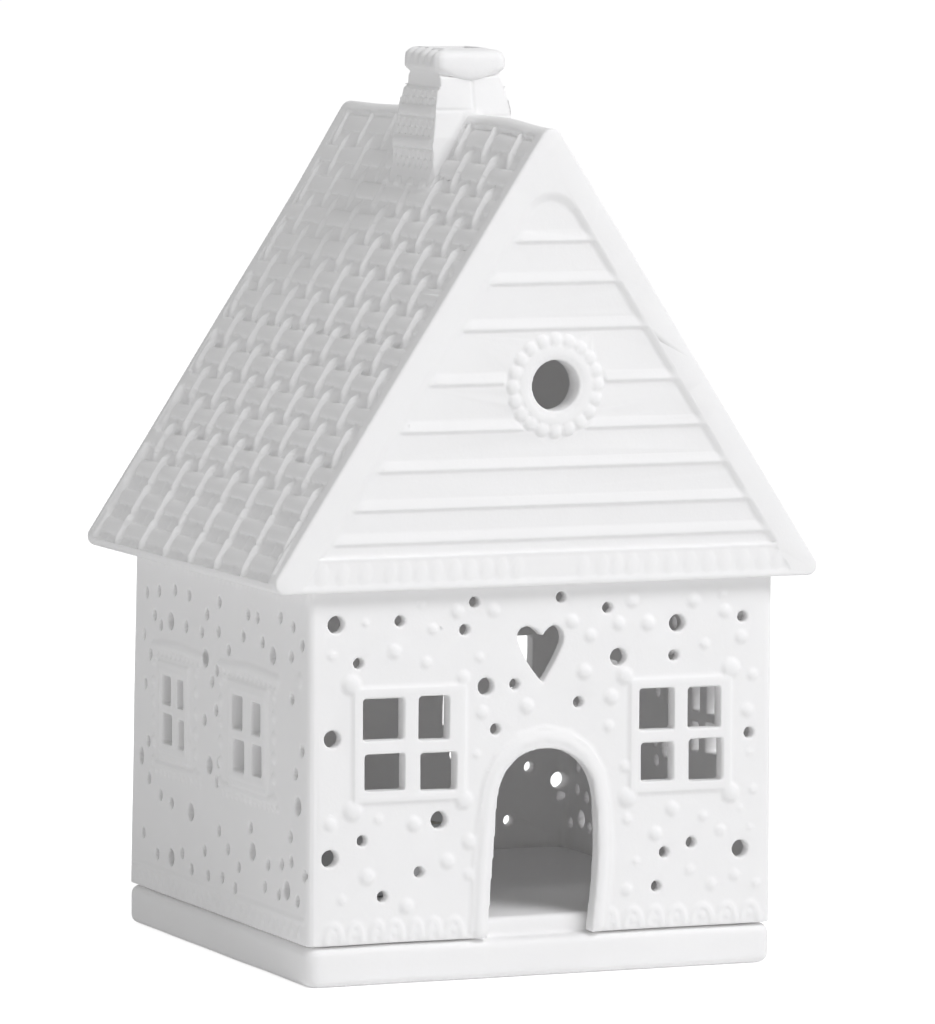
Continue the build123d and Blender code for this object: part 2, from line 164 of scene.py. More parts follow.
# Arches along the foot of the front wall: middle, width
foot_arches = (
    (-46.5, 3.4), (-41.8, 3.1), (-36.8, 2.4), (-33.0, 3.2), (-28.3, 2.4), (-24.3, 2.4), (-19.8, 3.6),
    (15.5, 2.4), (20.5, 3.6), (25.5, 3.2), (30.5, 3.7), (36.3, 4.6), (42.0, 4.0), (47.3, 3.8),
)
arch_foot = 9.6
arch_rise = 3.3
arch_steps = 8
# Radius and flatness of an arch's roll, and height, radius and flatness of the pillow in it
arch_roll = (0.75, 0.65)
arch_pillow = (10.8, 0.95, 0.4)
# The line of the door's rolls, from its left foot to its right foot
door_roll = (
    (-13.8, 10.1), (-13.7, 15.0), (-13.3, 24.0), (-12.6, 32.0), (-11.7, 39.0), (-9.6, 44.6), (-5.2, 48.3),
    (0.3, 49.5), (5.4, 48.4), (9.6, 45.2), (12.2, 40.6), (13.2, 33.0), (13.3, 25.0), (12.8, 17.0),
    (12.1, 10.1),
)
door_middle = (0.0, 24.0)
# The door's rolls: how far outside that line, radius, flatness
door_rolls = ((0.35, 1.35, 0.7), (2.1, 0.55, 0.75))

# A side window's frame: how far from its panes, share of the front's radius, flatness
side_frame = (1.3, 0.8, 0.9)
# The lines above and below that frame: how far from the panes, radius, flatness
side_rules = (2.4, 2.6, 0.55, 1.5)
# Canopies and sills about the side windows, left and right end, and the columns of beads
side_canopies = ((-37.0, -8.5), (2.5, 35.5))
side_bead_columns = (-37.0, -12.0, 2.6, 33.0)
# A canopy's height at its left end, middle and right end, then its radius and flatness
canopy_heights = (61.6, 62.5, 61.9)
canopy_roll = (1.1, 0.5)
# Bars under a canopy and over a sill: height at the left and right end, radius, flatness
side_bars = ((59.4, 59.6, 0.6, 0.6), (36.2, 36.4, 0.9, 0.6))
side_bar_inset = 1.0
# Dots in two rows, and beads in a column: heights or lowest height, step, radius, flatness
side_dot_heights = (60.7, 35.0)
side_dot = (2.6, 0.75, 0.6)
side_dot_inset = 1.5
side_bead_foot = 36.8
side_beads = 6
side_bead = (4.3, 1.25, 0.45)
side_bump = (47.5, 63.0, 1.6, 0.35)
# The band along a side wall's foot: its upper line, and the zigzag beneath
band_line = (50.0, 13.6, 0.6, 0.5)
zigzags = 25
zigzag_pitch = 4.0
zigzag_half = 1.6
zigzag_heights = (9.8, 12.4)
zigzag_roll = (0.45, 0.6)
# The dots along a side wall's head: first place, step, height, radius, flatness
eave_dots = 40
eave_dot = (-50.0, 2.56, 79.6, 0.6, 0.4)

# The back wall leans forward: where the lean starts, how soon it is full, and its reach at the head
lean_start = 41.0
lean_run = 8.0
lean_reach = 3.4

# Lower edges of the gable's boards, up from the table, and the round window between them
board_edges = (91.2, 98.0, 105.8, 113.8, 123.4, 134.4, 143.8, 152.3)
round_window = (1.22, 122.73)
# The beads of the round window's collar: how many, on which ring, their radius and height
collar_beads = 20
collar_radius = 9.3
collar_bead = (1.6, 0.8)
# The collar's inner rim: its reach, the run of its outer edge, its height
collar_rim = (9.2, 1.6, 0.65)
collar_inner = 6.3
collar_outer = 11.2
# The panel of boards: its depth, the rounding of its top (middle and radius to the outline's edge),
# and the start and run of its soft left and right edges, in from the gable's edge
panel_depth = 1.0
panel_top = 170.0
panel_edge = 4.2
apex_round = (155.7, 12.0)
panel_left = (4.9, 2.4)
panel_right = (5.0, 1.7)
lap_depth = 0.6
# Where the boards' laps start: in from the left edge, and out from the round window, each with a run
lap_left = (6.4, 2.0)
lap_window = (10.6, 1.2)
# The frieze under the boards: its top, depth, and the middle, half width and half height of a drop
frieze_top = 88.6
frieze_depth = 0.28
frieze_edge = 6.0
drop_middle = 85.3
drop_half = (1.5, 2.5)
# A drop leans by this share, about the height where it stands upright on its place
drop_lean = 0.14
drop_upright = 85.4
frieze_drops = (
    -50.5, -46.0, -41.0, -35.4, -32.2, -28.8, -25.3, -21.3, -17.8, -14.2, -10.8, -7.2, 7.4, 11.8, 15.0,
    18.4, 22.9, 27.3, 31.7, 35.9, 39.6, 43.9, 48.2, 51.8,
)

# The roof's weave, as it lies in the solids but for its depth: heights up the slope, then the first
# stake's place, the step to the next one and how much the step grows
stake_fans = ((3.44, -51.52, 6.870, 0.0366), (27.53, -51.97, 6.615, 0.0366), (103.22, -49.75, 6.803, 0.0))
stake_count = 15
weft_count = 15
level_weft_count = 3
first_weft = 6.6
weft_pitch = 7.2
weft_height = 3.7
weave_foot = 2.4
weave_head = slope_length - 4.4
weave_depth = 0.85
weave_reach = 51.8
# The weave stays clear of the chimney's foot: half width and half depth
weave_seat = (11.2, 12.4)
# The weave fades up the slope and towards the back: where that starts, its run, and by what share
weave_fade_up = (55.0, 35.0)
weave_fade_back = (-15.0, 45.0)
weave_fade = 0.55
# A stake's rib over a weft: how it leans and up to how far from the weft, then where its head, foot
# and taper start, each with a run, how far it drops, its lowest crest and the width that it loses
rib_lean = 0.1
rib_reach = 5.5
rib_head = (2.4, 3.2)
rib_foot = (3.4, 2.6)
rib_taper = (1.2, 4.4)
rib_drop = 1.3
rib_dip = -0.55
rib_loss = 0.65
# A weft's section: tilt, roundness, the recess under its lower edge and its dip beside a stake
weft_tilt = 0.1
weft_round = 0.45
weft_recess = 0.15
weft_dip = 0.45
# The ridge is lifted: how far, from where along it, over which run, and the same for its middle hump
ridge_lift = (1.2, -54.0, 26.0)
ridge_hump = (0.5, 12.0, 30.0)
ridge_run = 26.0


class HouseSizes(bpy.types.PropertyGroup):
    """Sizes of the clay relief."""

    grain: bpy.props.FloatProperty(
        name="Clay grain", description="Width of the grains that merge a casting with its relief",
        default=0.0004, unit="LENGTH")
    bump_height: bpy.props.FloatProperty(
        name="Bump height", description="How high a bump stands, as a share of its radius",
        default=0.46, subtype="FACTOR")
    frame_radius: bpy.props.FloatProperty(
        name="Window roll", description="Radius of the roll about a window, in millimetres", default=1.15)
    weft_rise: bpy.props.FloatProperty(
        name="Weft rise", description="How far a weft stands out of the slope, in millimetres", default=0.0)
    stake_rise: bpy.props.FloatProperty(
        name="Stake rise", description="How far a stake stands out of the slope, in millimetres",
        default=0.6)
    stake_radius: bpy.props.FloatProperty(
        name="Stake radius", description="Half width of the weave's upright stakes, in millimetres",
        default=0.85)
    unevenness: bpy.props.FloatProperty(
        name="Unevenness", description="How far the hand-worked clay strays from true",
        default=0.00012, unit="LENGTH")


class HouseColours(bpy.types.PropertyGroup):
    """Colours of the finishes."""

    porcelain: bpy.props.FloatVectorProperty(
        name="Porcelain", description="Colour of the fired clay", subtype="COLOR", size=4,
        default=(0.95, 0.947, 0.947, 1.0))
    porcelain_shade: bpy.props.FloatVectorProperty(
        name="Porcelain shade", description="Colour of the clay's darker clouds", subtype="COLOR", size=4,
        default=(0.935, 0.931, 0.93, 1.0))
    foil: bpy.props.FloatVectorProperty(
        name="Foil", description="Colour of the tealight's cup", subtype="COLOR", size=4,
        default=(0.77, 0.78, 0.79, 1.0))
    wax: bpy.props.FloatVectorProperty(
        name="Wax", description="Colour of the wax", subtype="COLOR", size=4,
        default=(0.9, 0.88, 0.82, 1.0))
    wick: bpy.props.FloatVectorProperty(
        name="Wick", description="Colour of the waxed cotton", subtype="COLOR", size=4,
        default=(0.8, 0.77, 0.68, 1.0))


class HouseLight(bpy.types.PropertyGroup):
    """Strengths of the studio's light."""

    sky: bpy.props.FloatProperty(
        name="Sky", description="Strength of the even light from all round", default=0.42)
    key: bpy.props.FloatProperty(
        name="Key", description="Power of the large lamp above the front right corner", default=19.9,
        unit="POWER")
    fill: bpy.props.FloatProperty(
        name="Fill", description="Power of the low lamp beside the left wall", default=0.45, unit="POWER")


class Wire:
    """An output of a node, which sums as a number does."""

    def __init__(self, nodes, socket):
        self.nodes = nodes
        self.socket = socket

    def sum(self, operation, first, second):
        return self.nodes.add("ShaderNodeMath", {"operation": operation}, {0: first, 1: second})

    def __add__(self, other):
        return self.sum("ADD", self, other)

    def __radd__(self, other):
        return self.sum("ADD", other, self)

    def __mul__(self, other):
        return self.sum("MULTIPLY", self, other)


class Nodes:
    """The node tree of a material or a world, built up node by node."""

    def __init__(self, owner):
        owner.use_nodes = True
        self.tree = owner.node_tree
        self.tree.nodes.clear()

    def add(self, kind, settings=None, sockets=None, out=0):
        """Adds a node with its settings, feeds its sockets and gives one of its outputs."""
        node = self.tree.nodes.new(kind)
        for name, value in (settings or {}).items():
            setattr(node, name, value)
        for key, value in (sockets or {}).items():
            if isinstance(value, Wire):
                self.tree.links.new(value.socket, node.inputs[key])
            else:
                node.inputs[key].default_value = value
        return Wire(self, node.outputs[out]) if len(node.outputs) else None


class Finish(Nodes):
    """A material's nodes, with the steps that the finishes share."""

    def __init__(self, name):
        self.material = bpy.data.materials.new(name)
        super().__init__(self.material)

    def noise(self, scale, detail, roughness=0.5):
        """A cloud pattern in the object's own space."""
        place = self.add("ShaderNodeTexCoord", out="Object")
        sockets = {"Vector": place, "Scale": scale, "Detail": detail, "Roughness": roughness}
        return self.add("ShaderNodeTexNoise", None, sockets, out="Fac")

    def blend(self, share, first, second):
        """One colour turning into another with a share."""
        return self.add("ShaderNodeMix", {"data_type": "RGBA"}, {0: share, 6: first, 7: second}, out=2)

    def surface(self, sockets):
        """The finish's shader, from its sockets."""
        shader = self.add("ShaderNodeBsdfPrincipled", None, sockets)
        self.add("ShaderNodeOutputMaterial", None, {"Surface": shader})
        return self.material

    def bump(self, height, strength, distance):
        """A bumped normal from a height."""
        sockets = {"Strength": strength, "Distance": distance, "Height": height}
        return self.add("ShaderNodeBump", None, sockets)


def porcelain_finish():
    """Unglazed white porcelain: fine dry grain, faint clouds and small pits."""
    colours = bpy.context.scene.tealight_house_colours
    finish = Finish("white_bisque_porcelain")
    clouds = finish.noise(55.0, 4.0)
    grain = finish.noise(1700.0, 3.0, 0.6)
    dust = finish.noise(420.0, 4.0, 0.55)
    swell = finish.noise(90.0, 2.0)
    share = finish.add("ShaderNodeMapRange", None, {"Value": clouds, "From Min": 0.35, "From Max": 0.7})
    colour = finish.blend(share, tuple(colours.porcelain), tuple(colours.porcelain_shade))
    height = grain * 0.35 + dust * 0.5 + swell * 1.6
    return finish.surface({
        "Base Color": colour,
        "Roughness": 0.52 + dust * 0.16,
        "Specular IOR Level": 0.3,
        "Subsurface Weight": 0.2,
        "Subsurface Radius": (0.0025, 0.0025, 0.0024),
        "Subsurface Scale": 1.0,
        "Normal": finish.bump(height, 0.3, 0.00022),
    })


def foil_finish():
    """Pressed aluminium foil with a faint drawn grain."""
    colours = bpy.context.scene.tealight_house_colours
    finish = Finish("pressed_foil")
    place = finish.add("ShaderNodeTexCoord", out="Object")
    drawn = finish.add("ShaderNodeMapping", None, {"Vector": place, "Scale": (900.0, 900.0, 90.0)})
    sockets = {"Vector": drawn, "Scale": 1.0, "Detail": 3.0}
    grain = finish.add("ShaderNodeTexNoise", None, sockets, out="Fac")
    dents = finish.noise(260.0, 2.0)
    return finish.surface({
        "Base Color": tuple(colours.foil),
        "Metallic": 1.0,
        "Roughness": 0.24 + grain * 0.22,
        "Normal": finish.bump(grain * 0.3 + dents, 0.35, 0.00012),
    })


def wax_finish():
    """Paraffin wax: a soft, faintly mottled white with a low sheen."""
    colours = bpy.context.scene.tealight_house_colours
    finish = Finish("paraffin_wax")
    mottle = finish.noise(320.0, 4.0)
    swell = finish.noise(120.0, 2.0)
    deep = tuple(0.93 * part for part in colours.wax[:3]) + (1.0,)
    return finish.surface({
        "Base Color": finish.blend(mottle, tuple(colours.wax), deep),
        "Roughness": 0.34 + mottle * 0.2,
        "Subsurface Weight": 0.25,
        "Subsurface Radius": (0.003, 0.0025, 0.002),
        "Subsurface Scale": 1.0,
        "Normal": finish.bump(swell + mottle * 0.3, 0.25, 0.0003),
    })


def tin_finish():
    """Tinned sheet steel with small tool marks."""
    finish = Finish("tinned_steel")
    marks = finish.noise(1500.0, 3.0)
    return finish.surface({
        "Base Color": (0.62, 0.61, 0.59, 1.0),
        "Metallic": 1.0,
        "Roughness": 0.3 + marks * 0.2,
        "Normal": finish.bump(marks, 0.3, 0.00008),
    })


def cotton_finish():
    """Waxed braided cotton."""
    colours = bpy.context.scene.tealight_house_colours
    finish = Finish("waxed_cotton")
    place = finish.add("ShaderNodeTexCoord", out="Object")
    strand = finish.add("ShaderNodeTexWave", {"bands_direction": "DIAGONAL"},
                        {"Vector": place, "Scale": 420.0, "Distortion": 1.5, "Detail": 2.0}, out="Fac")
    deep = tuple(0.72 * part for part in colours.wick[:3]) + (1.0,)
    return finish.surface({
        "Base Color": finish.blend(strand, deep, tuple(colours.wick)),
        "Roughness": 0.62 + strand * 0.2,
        "Normal": finish.bump(strand, 0.6, 0.00012),
    })


def moved(across=0.0, depth=0.0, up=0.0):
    """A shift in a face's own millimetres."""
    return Matrix.Translation((across, depth, up))


def wall_face(turn):
    """A wall's outer face: 0 is the front, -90 the left, 90 the right and 180 the back."""
    return Matrix.Rotation(radians(turn), 4, "Z") @ Matrix.Scale(MM, 4) @ moved(0, -wall_half, 0)


def gable_face(turn):
    """A gable's face, level with its border: 0 is the front gable and 180 the back one."""
    return Matrix.Rotation(radians(turn), 4, "Z") @ Matrix.Scale(MM, 4) @ moved(0, -roof_half_depth, 0)


def slope_face(turn):
    """A roof slope from its virtual eave corner: 0 is the left slope and 180 the right one."""
    into = Vector((sin(slope_angle), 0, -cos(slope_angle)))
    rise = Vector((cos(slope_angle), 0, sin(slope_angle)))
    lying = Matrix.Identity(4)
    lying.col[0] = (0, -1, 0, 0)
    lying.col[1] = (*into, 0)
    lying.col[2] = (*rise, 0)
    lying.col[3] = (-roof_half_width, 0, roof_foot, 1)
    return Matrix.Rotation(radians(turn), 4, "Z") @ Matrix.Scale(MM, 4) @ lying


class Clay:
    """A merged copy of a casting's mesh, and the relief laid on it in small batches to stay quick."""

    batch_limit = 2000

    def __init__(self, node):
        self.node = node
        casting = bmesh.new()
        casting.from_mesh(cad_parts[node].data)
        bmesh.ops.remove_doubles(casting, verts=casting.verts, dist=weld)
        self.batches = [casting, bmesh.new()]

    def batch(self):
        """The batch that takes the next bit of relief."""
        if len(self.batches[-1].verts) > self.batch_limit:
            self.batches.append(bmesh.new())
        return self.batches[-1]

    def joined(self):
        """The casting and its relief in one form."""
        form = self.batches[0]
        for batch in self.batches[1:]:
            mesh = bpy.data.meshes.new("batch")
            batch.to_mesh(mesh)
            batch.free()
            form.from_mesh(mesh)
            bpy.data.meshes.remove(mesh)
        return form


def ball(clay, place, radius, flat=1.0):
    """A ball of clay, flattened into the face it sits on."""
    size = Matrix.Diagonal((radius, radius * flat, radius, 1))
    bmesh.ops.create_icosphere(clay.batch(), subdivisions=2, radius=1, matrix=place @ size)


def rod(clay, place, start, end, radius, flat=1.0):
    """A round bar of clay laid on a face from one place to another."""
    across = end[0] - start[0]
    up = end[1] - start[1]
    middle = moved((start[0] + end[0]) / 2, 0, (start[1] + end[1]) / 2)
    turn = Matrix.Rotation(atan2(across, up), 4, "Y")
    size = Matrix.Diagonal((radius, radius * flat, hypot(across, up), 1))
    bmesh.ops.create_cone(clay.batch(), cap_ends=True, segments=12, radius1=1, radius2=1, depth=1,
                          matrix=place @ middle @ turn @ size)


def roll(clay, place, points, radius, flat=1.0):
    """A roll of clay along a line of places on a face."""
    for start, end in zip(points, points[1:]):
        rod(clay, place, start, end, radius, flat)
    for across, up in points:
        ball(clay, place @ moved(across, 0, up), radius, flat)


def settle(piece):
    """Gives a piece the mesh that its modifiers make."""
    bpy.context.view_layer.update()
    depsgraph = bpy.context.evaluated_depsgraph_get()
    mesh = bpy.data.meshes.new_from_object(piece.evaluated_get(depsgraph))
    raw = piece.data
    piece.modifiers.clear()
    piece.data = mesh
    bpy.data.meshes.remove(raw)


def new_piece(form, name):
    """A piece of the scene from a form, which is used up."""
    mesh = bpy.data.meshes.new(name)
    form.to_mesh(mesh)
    form.free()
    piece = bpy.data.objects.new(name, mesh)
    bpy.context.scene.collection.objects.link(piece)
    return piece


def fire(clay, name, body, press=None):
    """Merges a casting with its relief into one soft skin that stands for its CAD node."""
    sizes = bpy.context.scene.tealight_house_sizes
    softening, triangles, fineness = firing[clay.node]
    piece = new_piece(clay.joined(), name)
    merge = piece.modifiers.new("merge", "REMESH")
    merge.mode = "VOXEL"
    merge.voxel_size = sizes.grain * fineness
    merge.use_smooth_shade = True
    if press:
        settle(piece)
        press(piece)
    soften = piece.modifiers.new("soften", "SMOOTH")
    soften.factor = 0.5
    soften.iterations = softening
    settle(piece)
    # The skin's faces have four corners, so each counts for two triangles
    thin = piece.modifiers.new("thin", "DECIMATE")
    thin.ratio = min(1.0, triangles / (2.0 * len(piece.data.polygons)))
    settle(piece)
    low, high = cad_box
    # Unseeded, the noise would differ from run to run
    noise.seed_set(noise_seed)
    for vert in piece.data.vertices:
        strayed = vert.co + noise.noise_vector(vert.co * swells) * sizes.unevenness
        vert.co = [min(max(place, least), most) for place, least, most in zip(strayed, low, high)]
    piece.data.shade_smooth()
    piece.data.materials.clear()
    piece.data.materials.append(bpy.data.materials["white_bisque_porcelain"])
    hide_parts(clay.node)
    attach(piece, body)


def window_outline(panes, margin):
    """Left, right, bottom and top of a window's frame about its panes."""
    left = min(pane[0] for pane in panes) - margin
    right = max(pane[1] for pane in panes) + margin
    bottom = min(pane[2] for pane in panes) - margin
    top = max(pane[3] for pane in panes) + margin
    return left, right, bottom, top


def frame_window(clay, place, panes, margin, radius, flat):
    """A rolled frame with its two glazing bars about four panes."""
    left, right, bottom, top = window_outline(panes, margin)
    corners = ((left, bottom), (left, top), (right, top), (right, bottom), (left, bottom))
    roll(clay, place, corners, radius, flat)
    upper_left, upper_right, lower_left, lower_right = panes
    bar_top = (upper_left[1] + upper_right[0]) / 2
    bar_foot = (lower_left[1] + lower_right[0]) / 2
    rod(clay, place, (bar_foot, bottom), (bar_top, top), radius, flat * bar_share)
    bar_left = (upper_left[2] + lower_left[3]) / 2
    bar_right = (upper_right[2] + lower_right[3]) / 2
    rod(clay, place, (left, bar_left), (right, bar_right), radius, flat * bar_share)


def grown(line, out):
    """A line about the door, moved away from the door's middle."""
    middle = Vector(door_middle)
    arch = [Vector(point) + (Vector(point) - middle).normalized() * out for point in line[1:-1]]
    return [(line[0][0] - out, line[0][1]), *arch, (line[-1][0] + out, line[-1][1])]


def front_relief(clay, turn, with_door):
    """Bumps, window frames, the foot's arches and the door's rolls of the front or back wall."""
    sizes = bpy.context.scene.tealight_house_sizes
    place = wall_face(turn)
    for across, up, radius in front_bumps + window_corner_bumps:
        ball(clay, place @ moved(across, 0, up), radius, sizes.bump_height)
    margin, flat = front_frame
    for panes in front_windows:
        frame_window(clay, place, panes, margin, sizes.frame_radius, flat)
    pillow_height, pillow_radius, pillow_flat = arch_pillow
    for middle, width in foot_arches:
        turns = [pi * step / arch_steps for step in range(arch_steps + 1)]
        arch = [(middle + width / 2 * cos(turn), arch_foot + arch_rise * sin(turn)) for turn in turns]
        roll(clay, place, arch, *arch_roll)
        ball(clay, place @ moved(middle, 0, pillow_height), pillow_radius, pillow_flat)
    if with_door:
        for out, radius, flat in door_rolls:
            roll(clay, place, grown(door_roll, out), radius, flat)


def side_relief(clay, turn):
    """Window frames, dotted canopies and sills, bead columns and the foot's band of a side wall."""
    sizes = bpy.context.scene.tealight_house_sizes
    place = wall_face(turn)
    margin, share, flat = side_frame
    rule_side, rule_end, rule_radius, rule_flat = side_rules
    for panes in side_windows:
        frame_window(clay, place, panes, margin, sizes.frame_radius * share, flat)
        left, right = window_outline(panes, rule_side)[:2]
        bottom, top = window_outline(panes, rule_end)[2:]
        for up in (top, bottom):
            rod(clay, place, (left, up), (right, up), rule_radius, rule_flat)
    dot_step, dot_radius, dot_flat = side_dot
    for left, right in side_canopies:
        ends = (left, (left + right) / 2, right)
        roll(clay, place, list(zip(ends, canopy_heights)), *canopy_roll)
        for low, high, radius, flat in side_bars:
            rod(clay, place, (left + side_bar_inset, low), (right - side_bar_inset, high), radius, flat)
        across = left + side_dot_inset
        while across < right:
            for up in side_dot_heights:
                ball(clay, place @ moved(across, 0, up), dot_radius, dot_flat)
            across += dot_step
    bead_step, bead_radius, bead_flat = side_bead
    for across in side_bead_columns:
        for step in range(side_beads):
            ball(clay, place @ moved(across, 0, side_bead_foot + bead_step * step), bead_radius, bead_flat)
    across, up, radius, flat = side_bump
    ball(clay, place @ moved(across, 0, up), radius, flat)
    reach, up, radius, flat = band_line
    rod(clay, place, (-reach, up), (reach, up), radius, flat)
    low, high = zigzag_heights
    for step in range(zigzags):
        middle = zigzag_pitch * (step - zigzags // 2)
        zigzag = ((middle - zigzag_half, low), (middle, high), (middle + zigzag_half, low))
        roll(clay, place, zigzag, *zigzag_roll)
    first, dot_step, up, radius, flat = eave_dot
    for step in range(eave_dots):
        ball(clay, place @ moved(first + dot_step * step, 0, up), radius, flat)


def lean_back_wall(clay):
    """Leans the back wall forward towards its head, as it sagged in firing."""
    for vert in (vert for batch in clay.batches for vert in batch.verts):
        share = eased((vert.co.y / MM - lean_start) / lean_run)
        height = (vert.co.z / MM - wall_foot) / (wall_head - wall_foot)
        vert.co.y -= lean_reach * MM * height * share


def eased(share):
    """A share from 0 to 1 that starts and ends gently."""
    share = min(max(share, 0.0), 1.0)
    return share * share * (3 - 2 * share)


def frieze_depth_at(across, up):
    """How deep the frieze lies between its raised drops."""
    half_width, half_height = drop_half
    rise = 0.0
    for drop in frieze_drops:
        leaned = across - drop - drop_lean * (up - drop_upright)
        off = hypot(leaned / half_width, (up - drop_middle) / half_height)
        rise = max(rise, eased((1.15 - off) / 0.75))
    ends = eased((up - 82.5) / 0.8) * eased((88.4 - up) / 0.6)
    return frieze_depth * ends * (1.0 - rise)


def collar_depth_at(across, up):
    """How deep the round window's collar lies: a low rim with a ring of beads around it."""
    across -= round_window[0]
    up -= round_window[1]
    away = hypot(across, up)
    step = 2 * pi / collar_beads
    turn = atan2(up, across)
    off_bead = turn - round(turn / step) * step
    radius, height = collar_bead
    off = hypot(away * cos(off_bead) - collar_radius, away * sin(off_bead)) / radius
    bead = height * (1.0 - off * off) ** 0.5 if off < 1.0 else 0.0
    reach, run, rim_height = collar_rim
    return panel_depth - max(bead, rim_height * eased((reach - away) / run))


def inset_at(across, up):
    """How far a place on a gable lies in from its left and its right edge."""
    half = (roof_foot + roof_rise - up) / roof_rise * roof_half_width
    return (half + across) * sin(slope_angle), (half - across) * sin(slope_angle)


def lap_at(up):
    """How far a board stands out over the one above it, as a share that fades up the board."""
    lap = 0.0
    for edge in board_edges:
        above = up - edge
        if -0.3 < above < 2.4:
            lap = min(1.0, (above + 0.3) / 0.5) * (1.0 - max(above - 0.2, 0.0) / 2.2)
    return lap


def panel_depth_at(across, up):
    """How deep a gable's face lies at a place inside its border: lapped boards and soft edges."""
    to_left, to_right = inset_at(across, up)
    over = up - apex_round[0]
    if over > 0.0 and abs(across) * roof_half_width < over * roof_rise:
        to_left = to_right = apex_round[1] - hypot(across, over)
    sunk = min(eased((to_left - panel_left[0]) / panel_left[1]),
               eased((to_right - panel_right[0]) / panel_right[1]))
    from_window = hypot(across - round_window[0], up - round_window[1])
    lap = lap_at(up) * eased((to_left - lap_left[0]) / lap_left[1])
    lap *= eased((from_window - lap_window[0]) / lap_window[1])
    return panel_depth * sunk - lap_depth * lap * sunk


def press_gable(piece, turn):
    """Presses the gable's boards, collar, frieze and soft edges into its face."""
    place = gable_face(turn)
    into = place.inverted()
    for vert in piece.data.vertices:
        spot = into @ vert.co
        if not -0.2 < spot.y < 1.5:
            continue
        edge = min(inset_at(spot.x, spot.z))
        if spot.z < frieze_top + 0.3:
            if edge > frieze_edge and spot.y < 0.4:
                spot.y += frieze_depth_at(spot.x, spot.z)
                vert.co = place @ spot
            continue
        from_window = hypot(spot.x - round_window[0], spot.z - round_window[1])
        if edge < panel_edge or from_window < collar_inner or spot.z > panel_top:
            continue
        depth_at = panel_depth_at if from_window > collar_outer else collar_depth_at
        spot.y = depth_at(spot.x, spot.z)
        vert.co = place @ spot


def stake_place(stake, up):
    """How far a stake stands from the slope's middle, at a height up the slope."""
    low = 0 if up < stake_fans[1][0] else 1
    foot, head = stake_fans[low], stake_fans[low + 1]
    share = (up - foot[0]) / (head[0] - foot[0])
    places = [fan[1] + fan[2] * stake + fan[3] * stake * stake for fan in (foot, head)]
    return places[0] + share * (places[1] - places[0])


def is_under(stake, row):
    """Whether a stake passes under a weft: the lowest wefts pass over the same stakes."""
    return (stake + max(row, level_weft_count - 1) - level_weft_count) % 2 == 0


def weft_row(up):
    """The weft that runs nearest to a height up the slope."""
    return min(max(round((up - first_weft) / weft_pitch), 0), weft_count - 1)


def over_stretch(stake, up):
    """How far up the slope a place lies from the nearest weft that the stake passes over."""
    near = weft_row(up)
    stretches = [up - first_weft - row * weft_pitch for row in range(near - 3, near + 4)
                 if not is_under(stake, row)]
    return min(stretches, key=abs)


def stake_profile(stake, across, up):
    """How high a stake stands at a place on the slope: a slim leaning rib over each weft it crosses."""
    sizes = bpy.context.scene.tealight_house_sizes
    stretch = over_stretch(stake, up)
    in_level_wefts = up < first_weft + level_weft_count * weft_pitch - 2.0
    lean = 0.0 if in_level_wefts else -rib_lean * max(-rib_reach, min(rib_reach, stretch))
    start, run = rib_head if stretch > 0 else rib_foot
    crest = max(sizes.stake_rise - rib_drop * eased((abs(stretch) - start) / run), rib_dip)
    start, run = rib_taper
    radius = sizes.stake_radius * (1.0 - rib_loss * eased((abs(stretch) - start) / run))
    aside = (across - stake_place(stake, up) - lean) / radius
    if abs(aside) >= 1.0:
        return -weave_depth
    return -weave_depth + (crest + weave_depth) * (1.0 - aside * aside)


def weft_profile(stake, gap, up):
    """How high the nearest weft stands at a place, with the small recess under its lower edge."""
    sizes = bpy.context.scene.tealight_house_sizes
    row = weft_row(up)
    off = (up - first_weft - row * weft_pitch) / (weft_height / 2)
    if off <= -1.0:
        return -weave_depth - weft_recess * eased((off + 1.9) / 0.5)
    if off >= 1.0:
        return -weave_depth
    beside = 0.0 if is_under(stake, row) else weft_dip * eased((2.6 - abs(gap)) / 1.6)
    crown = sizes.weft_rise + weft_tilt * off - weft_round * off * off - beside
    edge = min(1.0, (1.0 - abs(off)) / 0.2)
    return -weave_depth + (crown + weave_depth) * (edge * (2.0 - edge)) ** 0.5


def weave_height(across, up):
    """How high the weave stands at a place on a slope: the nearest weft or the ribs beside it."""
    gaps = [across - stake_place(stake, up) for stake in range(stake_count)]
    nearest = min(range(stake_count), key=lambda stake: abs(gaps[stake]))
    height = weft_profile(nearest, gaps[nearest], up)
    for stake in range(max(nearest - 1, 0), min(nearest + 2, stake_count)):
        rib = stake_profile(stake, across, up)
        if rib > -weave_depth:
            height = max(height, rib)
    sides = eased((weave_reach - abs(across)) / 0.7)
    ends = eased((up - weave_foot) / 0.8) * eased((weave_head - up) / 0.8)
    return height * sides * ends


def press_weave(piece, turn):
    """Presses the basket weave into a roof slope: stakes that pass over and under the wefts."""
    place = slope_face(turn)
    into = place.inverted()
    half_width, half_depth = weave_seat
    for vert in piece.data.vertices:
        spot = into @ vert.co
        if not -0.7 < spot.y < 1.5 or abs(spot.x) > weave_reach or not weave_foot < spot.z < weave_head:
            continue
        if abs(vert.co.x) / MM < half_width and abs(vert.co.y / MM - chimney_centre[1]) < half_depth:
            continue
        towards_back = -spot.x if turn == 0 else spot.x
        high = min(max((spot.z - weave_fade_up[0]) / weave_fade_up[1], 0.0), 1.0)
        rear = min(max((towards_back - weave_fade_back[0]) / weave_fade_back[1], 0.0), 1.0)
        spot.y = -weave_height(spot.x, spot.z) * (1.0 - weave_fade * high * rear)
        vert.co = place @ spot


